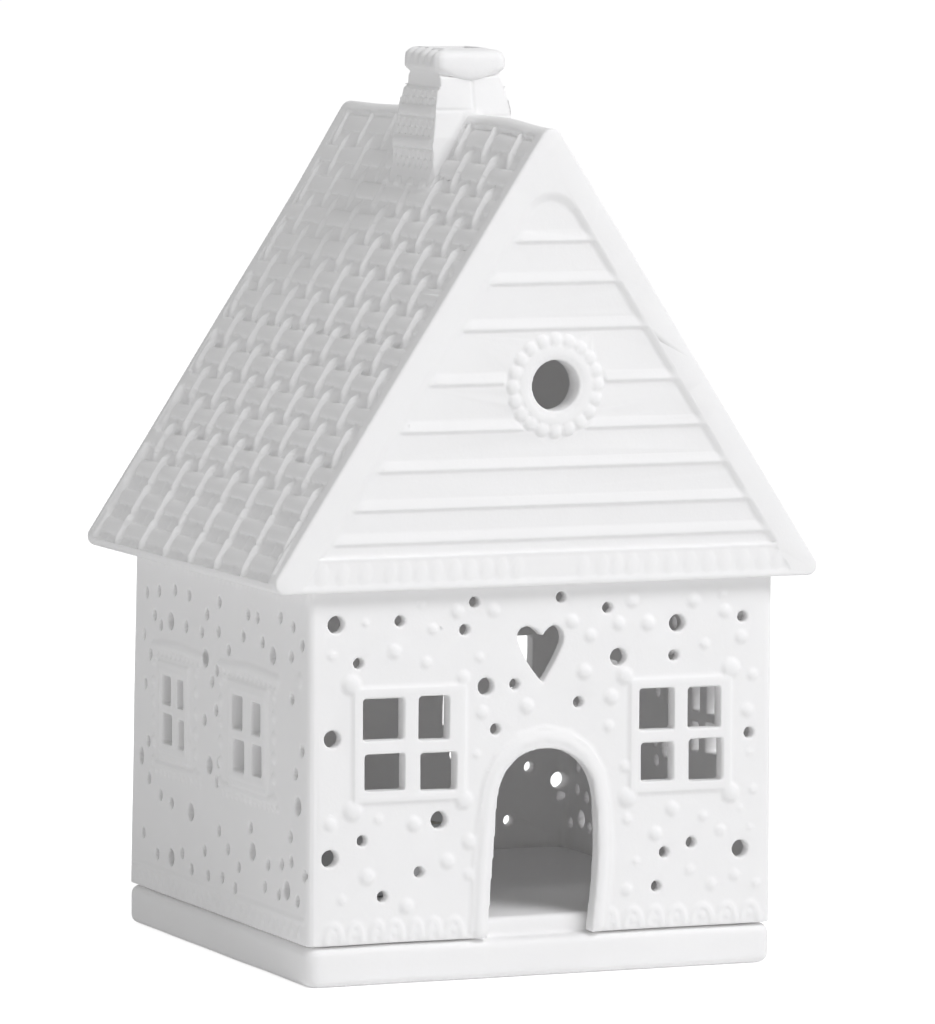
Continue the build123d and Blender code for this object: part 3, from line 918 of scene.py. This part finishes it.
def press_roof(piece):
    """Presses the gables' boards and the slopes' weave, and lifts the ridge that droops at the front."""
    for turn in (0, 180):
        press_gable(piece, turn)
        press_weave(piece, turn)
    reach, start, run = ridge_lift
    hump, middle, half = ridge_hump
    for vert in piece.data.vertices:
        along = vert.co.y / MM
        below = (roof_foot + roof_rise - vert.co.z / MM) / sin(slope_angle)
        lift = reach * eased((along - start) / run) + hump * eased(1.0 - abs(along - middle) / half)
        vert.co.z += MM * lift * eased(1.0 - below / ridge_run)


def brick_depth_at(across, up):
    """How deep the joints lie between the small bricks of a band."""
    for foot, head in brick_bands:
        if foot < up < head:
            row_height = (head - foot) / 2
            row = 0 if up < foot + row_height else 1
            place = (across / brick_pitch + 0.5 * row) % 1.0
            joint = eased(1.0 - abs(place - 0.5) * brick_pitch / 0.75)
            within = abs(up - foot - (row + 0.5) * row_height) / row_height
            bed = eased((within - 0.38) / 0.12)
            return brick_joint * joint * eased((0.5 - within) / 0.12) + brick_bed * bed
    return 0.0


def side_half(inset, across, up):
    """Half width of the chimney between its sides: neck, shoulder, rolls and fine brick courses."""
    step = eased((182.4 - up) / 0.8) if inset > 0.0 else min(max((184.2 - up) / 2.8, 0.0), 1.0)
    start, rate, most = side_batter
    half = neck_half + shoulder * step + min(rate * max(start - up, 0.0), most)
    fade = eased((inset - corner_fade[0]) / corner_fade[1])
    for foot, head in course_rolls:
        middle = (foot + head) / 2
        bulge = 1.0 - ((up - middle) / (head - foot) * 2) ** 2
        if bulge > 0.0:
            half += roll_bulge * bulge ** 0.5 * fade
        half -= roll_groove * eased(1.0 - abs(up - foot) / 0.45) * fade
    return half - brick_depth_at(across, up) * fade


def end_half(across, up):
    """Half depth of the chimney between its plain ends, with the faint joints of large bricks."""
    start, rate, most = end_batter
    half = min(start + rate * (cap_low - up), most)
    beside = eased(1.0 - abs(across - 0.2) / 0.55) if 177.4 < up < 184.0 else 0.0
    bed = eased(1.0 - abs(up - (177.6 if across < 0.2 else 176.2)) / 0.6)
    return half - joint_depth * max(beside, bed)


def cast_halves(up):
    """Half width and half depth of the chimney's casting at a height, without its relief."""
    share = min(max((182.4 - up) / 6.4, 0.0), 1.0)
    low = min(max((176.0 - up) / 14.2, 0.0), 1.0)
    if up > 182.35:
        return 7.0 + low, 7.9 + 0.2 * low
    return 7.8 + 0.9 * share + low, 8.7 + 2.3 * share + 0.2 * low


def roof_under(across):
    """Height of the roof under a place across the rounded ridge."""
    if abs(across) < ridge_radius * sin(slope_angle):
        return ridge_centre + (ridge_radius * ridge_radius - across * across) ** 0.5
    return roof_foot + roof_rise - roof_rise / roof_half_width * abs(across)


def press_chimney(piece):
    """Presses the chimney's plain ends, its courses and the shape of its cap."""
    steep = roof_rise / roof_half_width
    for vert in piece.data.vertices:
        across, along, up = vert.co.x / MM, vert.co.y / MM - chimney_centre[1], vert.co.z / MM
        if max(abs(across) / flue_half[0], abs(along) / flue_half[1]) < 1.12:
            continue
        if up > cap_low - 0.2:
            press_cap(vert, across, along, up)
            continue
        half_width, half_depth = cast_halves(up)
        beside, ahead = abs(across) / half_width, abs(along) / half_depth
        if max(beside, ahead) < 0.88:
            continue
        above = up - roof_under(across)
        flare = foot_flare[0] * eased(1.0 - above / foot_flare[1]) ** 2
        if beside >= ahead:
            deep = abs(along) * end_half(9.0, up) / half_depth
            bare = across > 0 and up > 170.0 and along < -6.0
            wide = side_half(0.0 if bare else end_half(9.0, up) - deep, along, up) + flare
        else:
            deep = end_half(across, up) + flare
            wide = abs(across) * side_half(0.0 if across > 0 else 0.1, along, up) / half_width
        drop = steep * (wide - abs(across)) * eased(1.0 - above / 3.0)
        vert.co.x = MM * (wide if across > 0 else -wide)
        vert.co.y = MM * (chimney_centre[1] + (deep if along > 0 else -deep))
        vert.co.z = MM * (up - drop)


def press_cap(vert, across, along, up):
    """Shapes the cap: flutes over its sides, and an underside and a rim that dip in the middle."""
    outer = max(abs(across) / 7.9, abs(along) / 9.2)
    swell = 0.35 * (1.0 - ((up - 187.4) / 3.0) ** 2) * eased((outer - 0.85) / 0.1)
    vert.co.x += MM * swell * across / 7.9
    vert.co.y += MM * swell * along / 9.2
    if abs(across) > 6.0 and abs(along) < 8.0:
        flute = 0.5 - 0.5 * cos(2 * pi * (along + 0.6) / flute_pitch)
        vert.co.x -= MM * 0.5 * flute * eased((up - 186.4) / 2.4) * (1 if across > 0 else -1)
        vert.co.z -= MM * 0.35 * flute * eased((up - 188.6) / 1.4)
    under = eased((187.2 - up) / 2.4) * eased((outer - 0.8) / 0.15)
    front = eased((abs(along) - 5.0) / 3.0)
    vert.co.z += MM * under * (0.75 - front * (0.4 + 2.3 * eased(1.0 - abs(across) / 7.5)))
    if along < 0:
        vert.co.z -= MM * 0.3 * eased((up - 187.4) / 2.0)


class TEALIGHT_HOUSE_OT_finishes(bpy.types.Operator):
    """Make the finishes that the pieces share"""

    bl_idname = "tealight_house.finishes"
    bl_label = "Finishes"

    def execute(self, context):
        porcelain_finish()
        foil_finish()
        wax_finish()
        tin_finish()
        cotton_finish()
        return {"FINISHED"}


class TEALIGHT_HOUSE_OT_plate(bpy.types.Operator):
    """Model the square plate with its raised floor"""

    bl_idname = "tealight_house.plate"
    bl_label = "Plate"

    def execute(self, context):
        fire(Clay("base_plate"), "plate_clay", "base")
        return {"FINISHED"}


class TEALIGHT_HOUSE_OT_walls(bpy.types.Operator):
    """Model the pierced walls with their bumps, frames and bands"""

    bl_idname = "tealight_house.walls"
    bl_label = "Walls"

    def execute(self, context):
        clay = Clay("house_walls")
        front_relief(clay, 0, True)
        front_relief(clay, 180, False)
        side_relief(clay, -90)
        side_relief(clay, 90)
        lean_back_wall(clay)
        fire(clay, "walls_clay", "house")
        return {"FINISHED"}


class TEALIGHT_HOUSE_OT_roof(bpy.types.Operator):
    """Model the roof with its weave and its boarded gables"""

    bl_idname = "tealight_house.roof"
    bl_label = "Roof"

    def execute(self, context):
        fire(Clay("roof"), "roof_clay", "house", press_roof)
        return {"FINISHED"}


class TEALIGHT_HOUSE_OT_chimney(bpy.types.Operator):
    """Model the chimney with its courses and fluted cap"""

    bl_idname = "tealight_house.chimney"
    bl_label = "Chimney"

    def execute(self, context):
        fire(Clay("chimney"), "chimney_clay", "house", press_chimney)
        return {"FINISHED"}


def turned(name, foot, profile, node, finish, segments):
    """A round piece of the tealight, spun from its outline: distance from the axis, and height."""
    form = bmesh.new()
    ring = [form.verts.new((radius * MM, 0, (foot + height) * MM)) for radius, height in profile]
    edges = [form.edges.new(pair) for pair in zip(ring, ring[1:] + ring[:1])]
    bmesh.ops.spin(form, geom=ring + edges, cent=(0, 0, 0), axis=(0, 0, 1), angle=2 * pi, steps=segments,
                   use_merge=True)
    bmesh.ops.remove_doubles(form, verts=form.verts, dist=weld)
    bmesh.ops.recalc_face_normals(form, faces=form.faces)
    bmesh.ops.translate(form, verts=form.verts, vec=(tealight_centre[0] * MM, tealight_centre[1] * MM, 0))
    piece = new_piece(form, name)
    piece.data.shade_smooth()
    piece.data.materials.append(bpy.data.materials[finish])
    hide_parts(node)
    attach(piece, "tealight")
    return piece


def ripple(cup):
    """Presses the fine flutes of the foil cup's wall."""
    for vert in cup.data.vertices:
        across = vert.co.x - tealight_centre[0] * MM
        along = vert.co.y - tealight_centre[1] * MM
        height = vert.co.z / MM - tealight_foot
        if hypot(across, along) > cup_wall * MM and 1.2 < height < 14.4:
            share = 1 - flute_share * (0.5 + 0.5 * cos(cup_flutes * atan2(along, across)))
            vert.co.x = tealight_centre[0] * MM + across * share
            vert.co.y = tealight_centre[1] * MM + along * share


class TEALIGHT_HOUSE_OT_tealight(bpy.types.Operator):
    """Model the tealight: cup, wax, sustainer and wick"""

    bl_idname = "tealight_house.tealight"
    bl_label = "Tealight"

    def execute(self, context):
        cup = turned("tealight_cup_foil", tealight_foot, (
            (0.0, 0.15), (15.5, 0.15), (16.2, 0.0), (18.2, 0.0), (18.75, 0.3), (18.98, 1.0), (18.98, 14.2),
            (19.2, 14.65), (19.55, 14.72), (19.55, 14.95), (19.0, 14.95), (18.72, 14.6), (18.72, 1.1),
            (18.5, 0.5), (18.1, 0.28), (0.0, 0.29),
        ), "tealight_cup", "pressed_foil", 120)
        ripple(cup)
        turned("tealight_wax_fill", wax_foot, (
            (0.82, 3.1), (1.55, 3.05), (1.55, 0.35), (6.05, 0.35), (6.05, 0.0), (18.0, 0.0), (18.55, 0.8),
            (18.62, 11.3), (17.9, 10.95), (14.0, 10.85), (8.0, 10.8), (3.0, 10.6), (1.6, 10.75),
            (0.82, 11.2),
        ), "tealight_wax", "paraffin_wax", 96)
        turned("sustainer_disc", wax_foot, (
            (0.82, 0.02), (5.7, 0.02), (5.98, 0.1), (5.98, 0.28), (5.6, 0.3), (2.1, 0.3), (1.48, 0.7),
            (1.48, 2.8), (1.3, 2.95), (0.82, 2.95),
        ), "wick_sustainer", "tinned_steel", 64)
        turned("cotton_wick", wax_foot, (
            (0.0, 0.3), (0.6, 0.3), (0.78, 0.6), (0.72, 3.5), (0.78, 7.0), (0.72, 10.5), (0.78, 12.4),
            (0.68, 14.4), (0.72, 15.2), (0.45, 15.6), (0.0, 15.68),
        ), "wick", "waxed_cotton", 24)
        return {"FINISHED"}


class TEALIGHT_HOUSE_OT_stage(bpy.types.Operator):
    """Set the floor, the light and the camera"""

    bl_idname = "tealight_house.stage"
    bl_label = "Stage"

    def execute(self, context):
        self.lay_floor()
        self.light(context)
        self.point_camera(context)
        return {"FINISHED"}

    def lay_floor(self):
        """A plain pale floor that runs out of the picture."""
        form = bmesh.new()
        bmesh.ops.create_grid(form, x_segments=1, y_segments=1, size=12.0)
        bmesh.ops.translate(form, verts=form.verts, vec=(0, 0, -0.0001))
        floor = new_piece(form, "studio_floor")
        finish = Finish("pale_floor")
        seen = finish.add("ShaderNodeLightPath", out="Is Camera Ray")
        paper = finish.add("ShaderNodeBsdfDiffuse", None, {"Color": (0.93, 0.93, 0.93, 1.0)})
        glow = finish.add("ShaderNodeEmission", None, {"Color": (1, 1, 1, 1), "Strength": 0.63})
        bright = finish.add("ShaderNodeAddShader", None, {0: paper, 1: glow})
        shown = finish.add("ShaderNodeMixShader", None, {0: seen, 1: paper, 2: bright})
        finish.add("ShaderNodeOutputMaterial", None, {"Surface": shown})
        floor.data.materials.append(finish.material)

    def light(self, context):
        """Even light from all round, a large soft lamp above the front and a low faint one at the left."""
        strengths = context.scene.tealight_house_light
        world = bpy.data.worlds.new("studio")
        context.scene.world = world
        nodes = Nodes(world)
        white = (1, 1, 1, 1)
        seen = nodes.add("ShaderNodeLightPath", out="Is Camera Ray")
        sky = nodes.add("ShaderNodeBackground", None, {"Color": white, "Strength": strengths.sky})
        backdrop = nodes.add("ShaderNodeBackground", None, {"Color": white, "Strength": 1.0})
        shown = nodes.add("ShaderNodeMixShader", None, {0: seen, 1: sky, 2: backdrop})
        nodes.add("ShaderNodeOutputWorld", None, {"Surface": shown})
        self.hang_lamp(context, "key_lamp", strengths.key, (1.0, 0.8), (0.67, -1.14, 1.45))
        self.hang_lamp(context, "fill_lamp", strengths.fill, (0.6, 0.1), (-0.9, -0.25, 0.05))

    def hang_lamp(self, context, name, power, size, place):
        """A rectangular soft lamp at a place, turned towards the object."""
        lamp = bpy.data.lights.new(name, "AREA")
        lamp.shape = "RECTANGLE"
        lamp.size, lamp.size_y = size
        lamp.energy = power
        lamp.color = (0.984, 0.984, 1.0)
        holder = bpy.data.objects.new(name, lamp)
        context.scene.collection.objects.link(holder)
        holder.location = place
        towards = Vector((0, 0, 0.08)) - holder.location
        holder.rotation_euler = towards.to_track_quat("-Z", "Y").to_euler()

    def point_camera(self, context):
        """The camera, fitted to the object's edges in the picture."""
        azimuth = radians(-22.905)
        elevation = radians(5.363)
        tilt = radians(0.284)
        target = Vector((0.00483, 0, 0.0917))
        distance = 1.7157
        ahead = Vector((-sin(azimuth) * cos(elevation), cos(azimuth) * cos(elevation), -sin(elevation)))
        level = Vector((cos(azimuth), sin(azimuth), 0))
        over = level.cross(ahead)
        right = level * cos(tilt) + over * sin(tilt)
        up = over * cos(tilt) - level * sin(tilt)
        data = bpy.data.cameras.new("picture_camera")
        data.lens = 284.27
        data.sensor_width = 36.0
        data.clip_start = 0.05
        data.clip_end = 60.0
        camera = bpy.data.objects.new("picture_camera", data)
        context.scene.collection.objects.link(camera)
        turn = Matrix((right, up, -ahead)).transposed().to_4x4()
        camera.matrix_world = Matrix.Translation(target - ahead * distance) @ turn
        context.scene.camera = camera
        context.scene.view_settings.view_transform = "Standard"
        context.scene.cycles.diffuse_bounces = 12


class TEALIGHT_HOUSE_PT_panel(bpy.types.Panel):
    """The tealight house's sizes, colours and pieces"""

    bl_idname = "TEALIGHT_HOUSE_PT_panel"
    bl_label = "Tealight House"
    bl_space_type = "VIEW_3D"
    bl_region_type = "UI"
    bl_category = "Tealight House"

    def draw(self, context):
        scene = context.scene
        for group in (scene.tealight_house_sizes, scene.tealight_house_colours, scene.tealight_house_light):
            for name in group.bl_rna.properties.keys():
                if name not in ("rna_type", "name"):
                    self.layout.prop(group, name)
        for step in steps:
            self.layout.operator(step.bl_idname)


steps = (
    TEALIGHT_HOUSE_OT_finishes, TEALIGHT_HOUSE_OT_plate, TEALIGHT_HOUSE_OT_walls, TEALIGHT_HOUSE_OT_roof,
    TEALIGHT_HOUSE_OT_chimney, TEALIGHT_HOUSE_OT_tealight, TEALIGHT_HOUSE_OT_stage,
)
groups = (HouseSizes, HouseColours, HouseLight)


def register():
    for group in groups:
        bpy.utils.register_class(group)
    bpy.types.Scene.tealight_house_sizes = bpy.props.PointerProperty(type=HouseSizes)
    bpy.types.Scene.tealight_house_colours = bpy.props.PointerProperty(type=HouseColours)
    bpy.types.Scene.tealight_house_light = bpy.props.PointerProperty(type=HouseLight)
    for step in steps:
        bpy.utils.register_class(step)
    bpy.utils.register_class(TEALIGHT_HOUSE_PT_panel)


def unregister():
    bpy.utils.unregister_class(TEALIGHT_HOUSE_PT_panel)
    for step in reversed(steps):
        bpy.utils.unregister_class(step)
    del bpy.types.Scene.tealight_house_light
    del bpy.types.Scene.tealight_house_colours
    del bpy.types.Scene.tealight_house_sizes
    for group in reversed(groups):
        bpy.utils.unregister_class(group)


def main():
    """Builds every piece in order."""
    register()
    bpy.ops.tealight_house.finishes()
    bpy.ops.tealight_house.plate()
    bpy.ops.tealight_house.walls()
    bpy.ops.tealight_house.roof()
    bpy.ops.tealight_house.chimney()
    bpy.ops.tealight_house.tealight()
    bpy.ops.tealight_house.stage()


if __name__ == "__main__":
    main()
